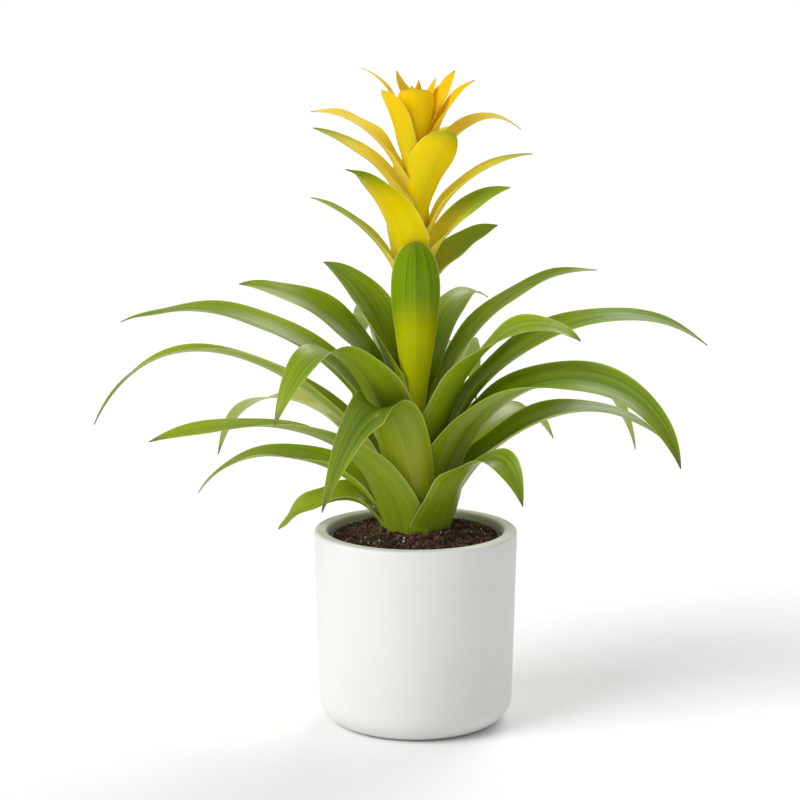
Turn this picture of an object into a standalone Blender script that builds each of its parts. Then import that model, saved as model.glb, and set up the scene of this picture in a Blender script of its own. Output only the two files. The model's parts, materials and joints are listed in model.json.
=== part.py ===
"""Potted bromeliad: a yellow-bracted plant in a liner pot, standing in a cylinder pot.

Frame: metres, +Z up, origin at the centre of the pot's underside.
Headings are degrees about +Z from +X. The plant's axis is the Z axis.
"""
import math
from collections import namedtuple

import bpy
import numpy as np

MM = 0.001
GAP = 0.3 * MM
MERGE = 0.01 * MM
COLLECTION = "potted_bromeliad"
CUTTERS = "cutters"

# Cylinder pot
POT_RADIUS = 75 * MM
POT_HEIGHT = 145 * MM
POT_FOOT_RADIUS = 72 * MM
POT_WALL = 10 * MM
POT_FLOOR = 8 * MM
POT_RIM_ROUND = 2.6 * MM
POT_CORNER = 20 * MM
POT_INNER_CORNER = 12 * MM
POT_STEPS = 48
ROUND_POINTS = 4
CORNER_POINTS = 7

# Thin liner pot that the plant grew in
LINER_TOP_RADIUS = 63 * MM
LINER_FOOT_RADIUS = 48 * MM
LINER_WALL = 1.2 * MM
LINER_TOP = 140 * MM
LINER_LIP = 1.2 * MM
LINER_LIP_HEIGHT = 6 * MM
LINER_STEPS = 48
DRAIN_HOLES = 6
DRAIN_RADIUS = 5 * MM
DRAIN_CIRCLE = 34 * MM
DRAIN_CUTTER_DEPTH = 8 * MM
DRAIN_CUTTER_SIDES = 12

# Potting mix
SOIL_EDGE_HEIGHT = 138.2 * MM
SOIL_CROWN_HEIGHT = 146.4 * MM
SOIL_CROWN_RADIUS = 27 * MM
SOIL_MOUND_POINTS = 6
SOCKET_CLEARANCE = 1.6 * MM
SOIL_STEPS = 48

# Crown and flower stem: (radius, height) up the outside, in millimetres
STEM_PROFILE = (
    (17.0, 118), (20.5, 122), (21.5, 146), (17.6, 160), (14.8, 176), (11.2, 200),
    (7.4, 226), (6.4, 250), (6.4, 375), (5.2, 396), (3.2, 412), (2.2, 426), (1.4, 434),
)
STEM_STEPS = 20

# Leaf walls
LEAF_THICKNESS = 0.8 * MM
LEAF_ROWS = 10
BRACT_ROWS = 8
LEAF_COLUMNS = 4
TIP_WIDTH = 0.8 * MM
SHARP_EDGE = math.radians(50)
CLASP_LIMIT = 0.85
FLATTEST = 0.12
ROLL_SPAN = (0.1, 0.7)
CHANNEL_SPAN = (0.1, 0.9)

# A kind of leaf: the reach over which its clasping base opens into a free blade (start, end in
# millimetres), the width at its base as a share of the full width, how soon it reaches the full
# width, the two exponents of its taper, and the half-angle of its channel at the base and how
# much of it is lost by the tip (radians).
Kind = namedtuple("Kind", "free_from free_to base swell taper point channel channel_drop")
STRAP = Kind(26, 48, 0.84, 0.30, 2.6, 0.95, 0.95, 0.60)
BRACT = Kind(11, 24, 0.62, 0.35, 2.8, 0.85, 0.95, 0.55)
BROAD = Kind(14, 30, 0.38, 0.70, 6.0, 0.56, 0.95, 0.40)
BLUNT = Kind(14, 30, 0.38, 0.70, 14.0, 0.42, 0.95, 0.40)
LEANING = Kind(14, 30, 0.38, 0.70, 4.0, 0.60, 0.95, 0.40)

# A leaf: heading, full width, and the four points that its midrib runs through, as (reach,
# height) from base to tip, all in millimetres; how far its tip is swept sideways, and how far
# its blade is rolled (degrees).
Leaf = namedtuple("Leaf", "heading width midrib sweep roll")

# Rosette leaves, from the lowest outer one to the highest inner one
ROSETTE = (
    Leaf(166, 36, ((25, 147.5), (44, 164), (75, 161), (106, 138)), 0, -25),
    Leaf(312, 38, ((25.8, 147.6), (41, 180), (78, 209), (112, 180)), 0, 15),
    Leaf(98, 36, ((23.4, 150), (50, 188), (104, 200), (150, 164)), 0, 0),
    Leaf(169, 36, ((22.5, 153), (60, 186), (116, 196), (166, 165)), 0, -8),
    Leaf(12, 38, ((22.6, 151), (46, 191), (112, 228), (194, 200)), 0, 10),
    Leaf(271, 44, ((24, 150), (32, 203), (52, 243), (66, 172)), -68, -15),
    Leaf(142, 36, ((22.4, 155), (76, 218), (140, 228), (196, 176)), 0, 0),
    Leaf(56, 34, ((25.4, 147.5), (66, 188), (126, 212), (200, 180)), 0, 15),
    Leaf(236, 38, ((26.4, 148), (50, 200), (106, 233), (160, 223)), -120, -10),
    Leaf(336, 48, ((19, 163), (64, 245), (138, 264), (203, 207)), 0, 25),
    Leaf(110, 32, ((20.2, 160.5), (59, 226), (100, 240), (134, 198)), 0, 0),
    Leaf(35, 38, ((20.5, 158), (80, 232), (150, 243), (212, 180)), 0, 10),
    Leaf(180, 36, ((16.6, 176), (76, 245), (160, 278), (236, 223)), 0, 5),
    Leaf(6, 40, ((16, 176), (60, 262), (140, 300), (217, 278)), 0, 15),
    Leaf(74, 36, ((17.8, 171), (62, 247), (122, 266), (180, 210)), 0, 0),
    Leaf(235, 48, ((16.4, 182), (44, 243), (97, 289), (168, 248)), 0, 0),
    Leaf(326, 50, ((15, 184), (44, 264), (88, 301), (138, 297)), 0, 20),
    Leaf(166, 40, ((15.5, 186), (72, 269), (150, 301), (228, 291)), 0, -10),
    Leaf(105, 38, ((14.5, 192), (60, 270), (120, 292), (180, 250)), 0, 0),
    Leaf(184, 42, ((13.4, 199), (42, 282), (80, 315), (128, 328)), 0, -30),
    Leaf(14, 34, ((13, 200), (42, 288), (84, 322), (138, 333)), 0, 8),
    Leaf(134, 28, ((11.5, 208), (20, 260), (46, 296), (82, 290)), 0, 0),
    Leaf(60, 32, ((10.4, 215), (15, 262), (38, 295), (112, 304)), 0, 10),
    Leaf(160, 40, ((8.4, 228), (17, 273), (38, 316), (72, 340)), 0, -35),
)

# Bracts up the flower stem, from the lowest to the one at the top
BRACTS = (
    (BROAD, Leaf(268, 47, ((9, 236), (14, 278), (18, 320), (20, 360)), 0, 0)),
    (BRACT, Leaf(80, 34, ((9, 250), (14, 290), (30, 325), (60, 345)), 0, 0)),
    (BRACT, Leaf(122, 24, ((8, 290), (12, 320), (23, 348), (40, 366)), 0, 0)),
    (BRACT, Leaf(15, 32, ((8, 306), (16, 334), (36, 356), (62, 368)), 0, 30)),
    (BRACT, Leaf(180, 22, ((8.5, 312), (20, 345), (46, 374), (76, 390)), 0, -10)),
    (BRACT, Leaf(0, 34, ((8, 322), (16, 354), (38, 382), (68, 397)), 0, 30)),
    (BRACT, Leaf(225, 48, ((7.5, 322), (13, 352), (34, 392), (70, 414)), 0, 0)),
    (BRACT, Leaf(2, 22, ((8, 342), (20, 384), (50, 411), (84, 421)), 0, 15)),
    (BRACT, Leaf(104, 30, ((7.2, 346), (12, 372), (30, 398), (58, 410)), 0, 0)),
    (BRACT, Leaf(182, 34, ((8, 366), (20, 402), (44, 425), (74, 440)), 0, -15)),
    (LEANING, Leaf(284, 44, ((7.4, 374), (12, 398), (18, 420), (27, 438)), 20, 0)),
    (BRACT, Leaf(58, 24, ((7.4, 381), (14, 408), (28, 430), (48, 438)), 0, 0)),
    (BRACT, Leaf(176, 26, ((7.2, 388), (18, 418), (42, 443), (76, 451)), 0, -15)),
    (BRACT, Leaf(19, 22, ((7.2, 391), (21, 424), (45, 444), (81, 437)), 0, 15)),
    (BLUNT, Leaf(205, 32, ((6.8, 393), (11, 424), (18, 448), (26, 467)), 0, 0)),
    (BRACT, Leaf(350, 30, ((6.6, 401), (13, 430), (24, 456), (42, 474)), 0, 20)),
    (BRACT, Leaf(105, 28, ((6.4, 402), (11, 422), (26, 440), (48, 446)), 0, 0)),
    (BLUNT, Leaf(266, 38, ((5.8, 409), (9, 428), (12, 448), (13, 468)), 0, 0)),
    (BRACT, Leaf(95, 22, ((5.8, 410), (9, 434), (18, 452), (32, 468)), 0, 0)),
    (BRACT, Leaf(22, 26, ((4.6, 417), (8.5, 438), (18, 460), (30, 480)), 0, 20)),
    (BRACT, Leaf(160, 10, ((4.6, 420), (9, 443), (22, 468), (42, 482)), 0, 0)),
    (BRACT, Leaf(45, 14, ((4, 424), (7, 444), (12, 459), (20, 474)), 0, 0)),
    (BRACT, Leaf(150, 26, ((3.6, 425), (5, 442), (10, 462), (16, 480)), 0, 0)),
    (BRACT, Leaf(285, 12, ((3, 432), (4, 446), (5, 460), (7, 474)), 0, 0)),
)


def clear_scene():
    """Remove every object that the scene starts with."""
    for item in list(bpy.data.objects):
        bpy.data.objects.remove(item, do_unlink=True)


def new_collection(name):
    """Make a collection of that name under the scene's own."""
    collection = bpy.data.collections.new(name)
    bpy.context.scene.collection.children.link(collection)
    return collection


def material(name, colour, roughness):
    """Make a plain Principled material."""
    made = bpy.data.materials.new(name)
    made.use_nodes = True
    shader = made.node_tree.nodes["Principled BSDF"]
    shader.inputs["Base Color"].default_value = (*colour, 1.0)
    shader.inputs["Roughness"].default_value = roughness
    return made


def add_object(name, mesh, collection, finish):
    """Link a mesh as an object of that name, with its material."""
    thing = bpy.data.objects.new(name, mesh)
    thing.data.materials.append(finish)
    collection.objects.link(thing)
    return thing


def arc(centre_x, centre_z, radius, start, end, count):
    """Points on a circular arc in the profile plane, from start to end degrees."""
    angles = np.radians(np.linspace(start, end, count))
    return [(centre_x + radius * math.cos(a), centre_z + radius * math.sin(a)) for a in angles]


def turned(name, profile, steps, collection, finish):
    """Turn an open profile, which starts and ends on the Z axis, into a solid with a Screw."""
    mesh = bpy.data.meshes.new(name)
    points = [(x, 0.0, z) for x, z in profile]
    edges = [(i, i + 1) for i in range(len(points) - 1)]
    mesh.from_pydata(points, edges, [])
    thing = add_object(name, mesh, collection, finish)
    screw = thing.modifiers.new("turn", "SCREW")
    screw.axis = "Z"
    screw.angle = math.tau
    screw.steps = steps
    screw.render_steps = steps
    screw.use_merge_vertices = True
    screw.merge_threshold = MERGE
    screw.use_smooth_shade = True
    return thing


def make_pot(collection):
    """Cylinder pot: a thick wall that widens slightly upwards, with rounded rim and foot."""
    inner = POT_RADIUS - POT_WALL
    inner_foot = POT_FOOT_RADIUS - POT_WALL
    rim_z = POT_HEIGHT - POT_RIM_ROUND
    profile = [(0.0, POT_FLOOR)]
    turn_x, turn_z = inner_foot - POT_INNER_CORNER, POT_FLOOR + POT_INNER_CORNER
    profile += arc(turn_x, turn_z, POT_INNER_CORNER, -90, 0, ROUND_POINTS)
    profile += arc(inner + POT_RIM_ROUND, rim_z, POT_RIM_ROUND, 180, 90, ROUND_POINTS)
    profile += arc(POT_RADIUS - POT_RIM_ROUND, rim_z, POT_RIM_ROUND, 90, 0, ROUND_POINTS)
    profile += arc(POT_FOOT_RADIUS - POT_CORNER, POT_CORNER, POT_CORNER, 0, -90, CORNER_POINTS)
    profile.append((0.0, 0.0))
    finish = material("pot_ceramic", (0.80, 0.79, 0.76), 0.6)
    turned("pot", profile, POT_STEPS, collection, finish)


def liner_radius(height):
    """Outside radius of the liner's straight tapered wall at a height."""
    foot_z = POT_FLOOR + GAP
    share = (height - foot_z) / (LINER_TOP - foot_z)
    return LINER_FOOT_RADIUS + share * (LINER_TOP_RADIUS - LINER_LIP - LINER_FOOT_RADIUS)


def make_liner(collection, cutters):
    """Liner pot: a thin tapered shell with an outward lip and drain holes in its floor."""
    foot_z = POT_FLOOR + GAP
    lip_z = LINER_TOP - LINER_LIP_HEIGHT
    profile = [
        (0.0, foot_z + LINER_WALL),
        (liner_radius(foot_z + LINER_WALL) - LINER_WALL, foot_z + LINER_WALL),
        (liner_radius(LINER_TOP) - LINER_WALL, LINER_TOP),
        (LINER_TOP_RADIUS, LINER_TOP),
        (LINER_TOP_RADIUS, lip_z),
        (liner_radius(lip_z), lip_z),
        (liner_radius(foot_z), foot_z),
        (0.0, foot_z),
    ]
    finish = material("liner_plastic", (0.012, 0.014, 0.012), 0.45)
    liner = turned("nursery_pot", profile, LINER_STEPS, collection, finish)
    for number in range(DRAIN_HOLES):
        angle = math.tau * number / DRAIN_HOLES
        place = (DRAIN_CIRCLE * math.cos(angle), DRAIN_CIRCLE * math.sin(angle), foot_z)
        bpy.ops.mesh.primitive_cylinder_add(
            vertices=DRAIN_CUTTER_SIDES, radius=DRAIN_RADIUS, depth=DRAIN_CUTTER_DEPTH, location=place
        )
        cut(liner, bpy.context.object, f"drain_cutter_{number}", cutters)


def cut(thing, cutter, name, cutters):
    """Move a cutter to the cutters' collection and subtract it from an object."""
    cutter.name = name
    for collection in list(cutter.users_collection):
        collection.objects.unlink(cutter)
    cutters.objects.link(cutter)
    cutter.hide_render = True
    cutter.display_type = "WIRE"
    boolean = thing.modifiers.new(name, "BOOLEAN")
    boolean.operation = "DIFFERENCE"
    boolean.object = cutter


def make_soil(collection):
    """Potting mix: fills the liner, mounded to the crown, with a socket for the crown."""
    floor_z = POT_FLOOR + GAP + LINER_WALL + GAP
    clearance = LINER_WALL + GAP
    edge = liner_radius(SOIL_EDGE_HEIGHT) - clearance
    socket = STEM_PROFILE[1][0] * MM + SOCKET_CLEARANCE
    socket_floor = STEM_PROFILE[0][1] * MM - GAP
    profile = [(0.0, socket_floor), (socket, socket_floor), (socket, SOIL_CROWN_HEIGHT)]
    for share in np.linspace(0.0, 1.0, SOIL_MOUND_POINTS):
        radius = SOIL_CROWN_RADIUS + share * (edge - SOIL_CROWN_RADIUS)
        fall = (1 - math.cos(math.pi * share)) / 2
        profile.append((radius, SOIL_CROWN_HEIGHT - fall * (SOIL_CROWN_HEIGHT - SOIL_EDGE_HEIGHT)))
    profile.append((liner_radius(floor_z) - clearance, floor_z))
    profile.append((0.0, floor_z))
    finish = material("potting_mix", (0.045, 0.022, 0.014), 0.95)
    turned("soil", profile, SOIL_STEPS, collection, finish)


def make_stem(collection):
    """Crown and flower stem: one turned piece that tapers to the tip of the flower spike."""
    outer = [(radius * MM, height * MM) for radius, height in reversed(STEM_PROFILE)]
    profile = [(0.0, outer[0][1]), *outer, (0.0, outer[-1][1])]
    finish = material("stem_green", (0.32, 0.42, 0.05), 0.5)
    turned("stem", profile, STEM_STEPS, collection, finish)


def ease(start, end, value):
    """Smooth step from 0 at start to 1 at end."""
    share = np.clip((value - start) / (end - start), 0.0, 1.0)
    return share * share * (3 - 2 * share)


def through_points(points, along):
    """Lagrange cubic through four points, each at its share of the chord length."""
    points = np.asarray(points, float)
    chords = np.linalg.norm(np.diff(points, axis=0), axis=1)
    knots = np.concatenate([[0.0], np.cumsum(chords)]) / chords.sum()
    curve = np.zeros((len(along), points.shape[1]))
    for i, knot in enumerate(knots):
        others = np.delete(knots, i)
        weight = np.prod((along[:, None] - others) / (knot - others), axis=1)
        curve += weight[:, None] * points[i]
    return curve


def unit(vectors):
    """Scale each row to length 1."""
    return vectors / np.linalg.norm(vectors, axis=1)[:, None]


def leaf_surface(leaf, kind, rows, columns, offset):
    """Grid of points on one face of a leaf.

    Across the leaf the section is a circular arc that opens towards the stem. At the base it
    is level and centred on the stem, so leaves nest; along the free blade it is square to the
    midrib and opens into a shallow channel. The offset moves the face outwards from the stem.
    """
    along = np.linspace(0.0, 1.0, rows + 1)
    across = np.linspace(-1.0, 1.0, columns + 1)
    heading = math.radians(leaf.heading)
    outward = np.array([math.cos(heading), math.sin(heading), 0.0])
    sideways = np.array([-math.sin(heading), math.cos(heading), 0.0])
    reach, height = (through_points(leaf.midrib, along) * MM).T
    midrib = reach[:, None] * outward
    midrib += (leaf.sweep * MM * along**2)[:, None] * sideways
    midrib[:, 2] += height
    tangent = unit(np.gradient(midrib, along, axis=0))
    side = unit(sideways - (tangent @ sideways)[:, None] * tangent)
    free = ease(kind.free_from * MM, kind.free_to * MM, reach)
    inward = unit(-(1 - free)[:, None] * outward + free[:, None] * np.cross(tangent, side))

    share = kind.base + (1 - kind.base) * ease(0.0, kind.swell, along)
    taper = np.clip(1 - along**kind.taper, 0.0, 1.0) ** kind.point
    half = np.maximum(leaf.width * MM * share * taper, TIP_WIDTH) / 2
    clasp = np.minimum(half / reach, CLASP_LIMIT)
    channel = kind.channel - kind.channel_drop * ease(*CHANNEL_SPAN, along)
    half = (1 - free) * clasp * reach + free * half
    angle = np.maximum((1 - free) * clasp + free * channel, FLATTEST)
    radius = half / angle

    roll = math.radians(leaf.roll) * ease(*ROLL_SPAN, along)
    lateral = side * np.cos(roll)[:, None] + inward * np.sin(roll)[:, None]
    normal = inward * np.cos(roll)[:, None] - side * np.sin(roll)[:, None]
    turn = angle[:, None] * across
    sideways_shift = ((radius + offset)[:, None] * np.sin(turn))[..., None] * lateral[:, None]
    lift = (radius[:, None] - (radius + offset)[:, None] * np.cos(turn))[..., None] * normal[:, None]
    return midrib[:, None] + sideways_shift + lift


def leaf_mesh(name, leaf, kind, rows):
    """Closed leaf solid: an inner and an outer face of quads, joined by a rim of quads."""
    columns = LEAF_COLUMNS
    inner = leaf_surface(leaf, kind, rows, columns, 0.0)
    outer = leaf_surface(leaf, kind, rows, columns, LEAF_THICKNESS)
    points = np.concatenate([inner.reshape(-1, 3), outer.reshape(-1, 3)])
    index = np.arange(len(points)).reshape(2, rows + 1, columns + 1)
    faces = []
    for i in range(rows):
        for j in range(columns):
            faces.append((index[0, i, j], index[0, i + 1, j], index[0, i + 1, j + 1], index[0, i, j + 1]))
            faces.append((index[1, i, j], index[1, i, j + 1], index[1, i + 1, j + 1], index[1, i + 1, j]))
    up_one_side = [(i, 0) for i in range(rows + 1)]
    over_the_tip = [(rows, j) for j in range(1, columns)]
    down_the_other = [(i, columns) for i in range(rows, -1, -1)]
    under_the_base = [(0, j) for j in range(columns - 1, 0, -1)]
    border = up_one_side + over_the_tip + down_the_other + under_the_base
    for (i, j), (k, m) in zip(border, border[1:] + border[:1]):
        faces.append((index[0, i, j], index[1, i, j], index[1, k, m], index[0, k, m]))
    mesh = bpy.data.meshes.new(name)
    mesh.from_pydata(points.tolist(), [], [tuple(int(v) for v in face) for face in faces])
    mesh.shade_smooth()
    mesh.set_sharp_from_angle(angle=SHARP_EDGE)
    return mesh


def make_leaves(collection):
    """Rosette leaves, each its own solid."""
    finish = material("leaf_green", (0.14, 0.26, 0.03), 0.4)
    for number, leaf in enumerate(ROSETTE, start=1):
        name = f"leaf_{number:02d}"
        add_object(name, leaf_mesh(name, leaf, STRAP, LEAF_ROWS), collection, finish)


def make_bracts(collection):
    """Bracts of the flower spike, each its own solid."""
    finish = material("bract_yellow", (0.80, 0.58, 0.02), 0.45)
    for number, (kind, leaf) in enumerate(BRACTS, start=1):
        name = f"bract_{number:02d}"
        add_object(name, leaf_mesh(name, leaf, kind, BRACT_ROWS), collection, finish)


def main():
    """Build the whole plant in its pot."""
    clear_scene()
    parts = new_collection(COLLECTION)
    cutters = new_collection(CUTTERS)
    make_pot(parts)
    make_liner(parts, cutters)
    make_soil(parts)
    make_stem(parts)
    make_leaves(parts)
    make_bracts(parts)


main()
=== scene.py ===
"""Looks of the potted bromeliad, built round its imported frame.

Metres, +Z up, origin at the centre of the pot's underside; headings are degrees about +Z from +X.
Each leaf is a surface of two parameters: `along` runs 0 to 1 from base to tip, and `across` runs
-1 to 1 from one margin to the other.
"""

import json
import logging
import math
from dataclasses import dataclass, field, replace
from enum import Enum
from typing import Any

import bpy
import numpy as np
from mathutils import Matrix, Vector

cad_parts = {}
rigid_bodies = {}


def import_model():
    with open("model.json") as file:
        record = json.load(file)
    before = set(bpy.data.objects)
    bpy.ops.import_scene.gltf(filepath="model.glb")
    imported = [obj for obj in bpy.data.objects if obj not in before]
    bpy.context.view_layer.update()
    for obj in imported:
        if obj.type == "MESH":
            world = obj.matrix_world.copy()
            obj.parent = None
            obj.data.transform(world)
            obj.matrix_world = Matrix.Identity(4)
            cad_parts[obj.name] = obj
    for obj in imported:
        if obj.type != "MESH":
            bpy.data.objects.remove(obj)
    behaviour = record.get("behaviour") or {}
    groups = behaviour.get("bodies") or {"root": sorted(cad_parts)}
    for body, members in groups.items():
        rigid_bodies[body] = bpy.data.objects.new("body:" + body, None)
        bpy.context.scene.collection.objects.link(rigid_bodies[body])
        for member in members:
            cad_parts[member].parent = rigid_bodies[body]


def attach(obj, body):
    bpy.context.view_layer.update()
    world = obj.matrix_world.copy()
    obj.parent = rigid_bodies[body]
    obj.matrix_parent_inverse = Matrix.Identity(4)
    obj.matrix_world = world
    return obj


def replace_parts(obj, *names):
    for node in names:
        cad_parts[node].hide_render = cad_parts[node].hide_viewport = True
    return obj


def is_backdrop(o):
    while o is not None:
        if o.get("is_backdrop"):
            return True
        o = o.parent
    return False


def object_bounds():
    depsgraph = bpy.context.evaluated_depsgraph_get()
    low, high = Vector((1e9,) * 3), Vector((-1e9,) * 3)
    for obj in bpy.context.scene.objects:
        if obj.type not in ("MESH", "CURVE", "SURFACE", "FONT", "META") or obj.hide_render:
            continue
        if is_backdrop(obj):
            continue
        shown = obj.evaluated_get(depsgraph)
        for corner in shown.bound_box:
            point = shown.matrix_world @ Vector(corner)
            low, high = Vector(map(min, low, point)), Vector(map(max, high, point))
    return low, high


LOG = logging.getLogger("bromeliad")
Pair = tuple[float, float]
Triple = tuple[float, float, float]
MM = 0.001
BODY = "root"
UV_MAP = "blade"
OBJECT_COORDINATES = 3
MIX_FACTOR, MIX_FIRST, MIX_SECOND, MIX_COLOUR = 0, 6, 7, 2
ATTRIBUTE_NUMBER = 2


# ---- shader maths


@dataclass
class Value:
    """A socket in a node tree that takes part in Python arithmetic."""

    tree: bpy.types.NodeTree
    socket: Any

    def _math(self, operation: str, first: Any, second: Any) -> "Value":
        """Add one Math node and return its result."""
        shader = Shader(self.tree)
        return shader.node("ShaderNodeMath", {"operation": operation}, {0: first, 1: second})[0]

    def __add__(self, other: Any) -> "Value":
        """Sum."""
        return self._math("ADD", self, other)

    def __radd__(self, other: Any) -> "Value":
        """Sum with a plain number on the left."""
        return self._math("ADD", other, self)

    def __sub__(self, other: Any) -> "Value":
        """Difference."""
        return self._math("SUBTRACT", self, other)

    def __rsub__(self, other: Any) -> "Value":
        """Difference with a plain number on the left."""
        return self._math("SUBTRACT", other, self)

    def __mul__(self, other: Any) -> "Value":
        """Product."""
        return self._math("MULTIPLY", self, other)

    def __rmul__(self, other: Any) -> "Value":
        """Product with a plain number on the left."""
        return self._math("MULTIPLY", other, self)


class Shader:
    """Builds nodes in one material's tree."""

    def __init__(self, tree: bpy.types.NodeTree) -> None:
        """Keep the tree that the nodes go in."""
        self.tree = tree

    def node(self, kind: str, settings: dict[str, Any], inputs: dict[Any, Any]) -> list[Value]:
        """Add a node.

        Args:
            kind: the node's type name.
            settings: attributes, set before the inputs.
            inputs: socket name or number to a number, a colour or a Value to link.

        Returns:
            The node's outputs as Values.
        """
        made = self.tree.nodes.new(kind)
        for name, setting in settings.items():
            setattr(made, name, setting)
        for key, given in inputs.items():
            if isinstance(given, Value):
                self.tree.links.new(given.socket, made.inputs[key])
            else:
                made.inputs[key].default_value = given
        return [Value(self.tree, socket) for socket in made.outputs]

    def mix(self, share: Any, first: Any, second: Any) -> Value:
        """Blend two colours.

        Args:
            share: how much of the second colour shows, held to 0 to 1.
            first: a Value or an (r, g, b).
            second: a Value or an (r, g, b).

        Returns:
            The blended colour.
        """
        colours = [given if isinstance(given, Value) else (*given, 1.0) for given in (first, second)]
        inputs = {MIX_FACTOR: share, MIX_FIRST: colours[0], MIX_SECOND: colours[1]}
        return self.node("ShaderNodeMix", {"data_type": "RGBA", "clamp_factor": True}, inputs)[MIX_COLOUR]

    def step(self, value: Value, start: float, end: float) -> Value:
        """Smooth step from 0 at start to 1 at end."""
        inputs = {"Value": value, "From Min": start, "From Max": end}
        return self.node("ShaderNodeMapRange", {"interpolation_type": "SMOOTHSTEP"}, inputs)[0]

    def place(self) -> Value:
        """Object coordinates."""
        return self.node("ShaderNodeTexCoord", {}, {})[OBJECT_COORDINATES]

    def attribute(self, name: str) -> Value:
        """A number painted on the piece's points."""
        return self.node("ShaderNodeAttribute", {"attribute_name": name}, {})[ATTRIBUTE_NUMBER]

    def noise(self, vector: Value, scale: float, detail: float = 2.0, stretch: Any = None) -> Value:
        """Noise from 0 to 1.

        Args:
            vector: the coordinates that it lies on.
            scale: how often it repeats in a unit.
            detail: how many finer octaves it has.
            stretch: what the coordinates are first multiplied by, along each axis.

        Returns:
            The noise.
        """
        if stretch is not None:
            vector = self.node("ShaderNodeMapping", {}, {"Vector": vector, "Scale": stretch})[0]
        return self.node("ShaderNodeTexNoise", {}, {"Vector": vector, "Scale": scale, "Detail": detail})[0]

    def bump(self, height: Value, strength: float, distance: float) -> Value:
        """A normal from a height."""
        inputs = {"Height": height, "Strength": strength, "Distance": distance}
        return self.node("ShaderNodeBump", {}, inputs)[0]

    def principled(self, inputs: dict[str, Any]) -> Value:
        """A Principled surface."""
        return self.node("ShaderNodeBsdfPrincipled", {}, inputs)[0]

    def finish(self, surface: Value) -> None:
        """Join a surface to the material's output."""
        self.node("ShaderNodeOutputMaterial", {}, {"Surface": surface})


def new_material(name: str) -> tuple[bpy.types.Material, Shader]:
    """Make a material.

    Args:
        name: its name.

    Returns:
        The material and a Shader on its empty tree.
    """
    made = bpy.data.materials.new(name)
    made.use_nodes = True
    made.node_tree.nodes.clear()
    return made, Shader(made.node_tree)


# ---- finishes


class Pigment(Enum):
    """What a blade is coloured as."""

    LEAF = "leaf"
    BRACT = "bract"


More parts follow.
